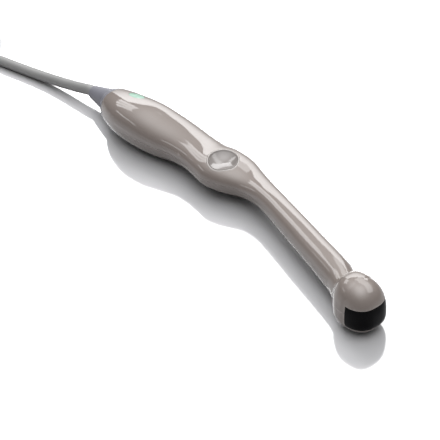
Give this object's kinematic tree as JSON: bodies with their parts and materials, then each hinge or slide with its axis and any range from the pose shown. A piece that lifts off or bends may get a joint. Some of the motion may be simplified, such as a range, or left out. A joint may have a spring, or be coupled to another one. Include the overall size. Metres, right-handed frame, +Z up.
{
  "type": "intraoral camera",
  "caption": "Hand-held dental camera with a bent glossy two-part shell, slender neck, domed head with a wrap-round dark window, thumb button and tied USB lead.",
  "frame": {"origin": "on the table under the middle of the handpiece, cable left out", "axes": "+X from the cable end towards the nose, +Z up, button facing up"},
  "size_m": [0.4419, 0.0463, 0.0294],
  "materials": {
    "shell": "smooth high-gloss warm pearl grey",
    "button": "smooth satin-gloss warm grey",
    "rim": "polished thin rim",
    "window": "polished black, infrared-dark",
    "seal": "matt olive grey",
    "status": "translucent pale green",
    "boot": "satin cool grey",
    "cable": "satin neutral grey jacket",
    "plug_moulding": "fine matt moulding",
    "steel": "brushed",
    "black_plastic": "matt black",
    "tie": "woven hook-and-loop strap",
    "board": "green solder mask",
    "chip": "moulded black package",
    "brass": "knurled brass",
    "alloy": "milled alloy",
    "lens": "coated lens glass",
    "flex": "amber polyimide film",
    "light_plastic": "milky white"
  },
  "bodies": {
    "handpiece": {"board_connector": "black_plastic", "board_screw_front": "steel", "board_screw_rear": "steel", "button_bezel": "rim", "button_spring": "steel", "cable_clamp": "alloy", "cable_core": "cable", "cable_ferrule": "steel", "cable_hank": "cable", "cable_run": "cable", "cable_socket": "light_plastic", "cable_tail": "cable", "cable_tie": "tie", "camera_holder": "black_plastic", "case_insert_front": "brass", "case_insert_rear": "brass", "case_screw_front": "steel", "case_screw_rear": "steel", "chassis": "alloy", "clamp_screw_left": "steel", "clamp_screw_right": "steel", "crystal": "steel", "flex_ribbon": "flex", "front_lens": "lens", "led_1": "light_plastic", "led_2": "light_plastic", "led_3": "light_plastic", "led_4": "light_plastic", "led_board": "board", "lens_barrel": "black_plastic", "lens_retainer": "steel", "light_pipe": "light_plastic", "lower_shell": "shell", "main_board": "board", "memory_chip": "chip", "middle_lens": "lens", "neck_spine": "alloy", "nose_window": "window", "plug_body": "plug_moulding", "plug_shell": "steel", "plug_tongue": "black_plastic", "power_coil": "chip", "processor_chip": "chip", "rear_lens": "lens", "sensor_board": "board", "sensor_chip": "chip", "status_led": "light_plastic", "status_window": "status", "strain_relief": "boot", "tact_switch": "steel", "upper_shell": "shell", "window_seal": "seal"},
    "button": {"capture_button": "button", "switch_plunger": "black_plastic"}
  },
  "joints": [
    {"name": "button_press", "type": "slide", "parent": "handpiece", "child": "button", "axis": [0, 0, -1], "range_m": [0, 0.0005], "stiffness_N_per_m": 700, "springref_m": -0.0015, "deforming": ["button_spring"]}
  ]
}
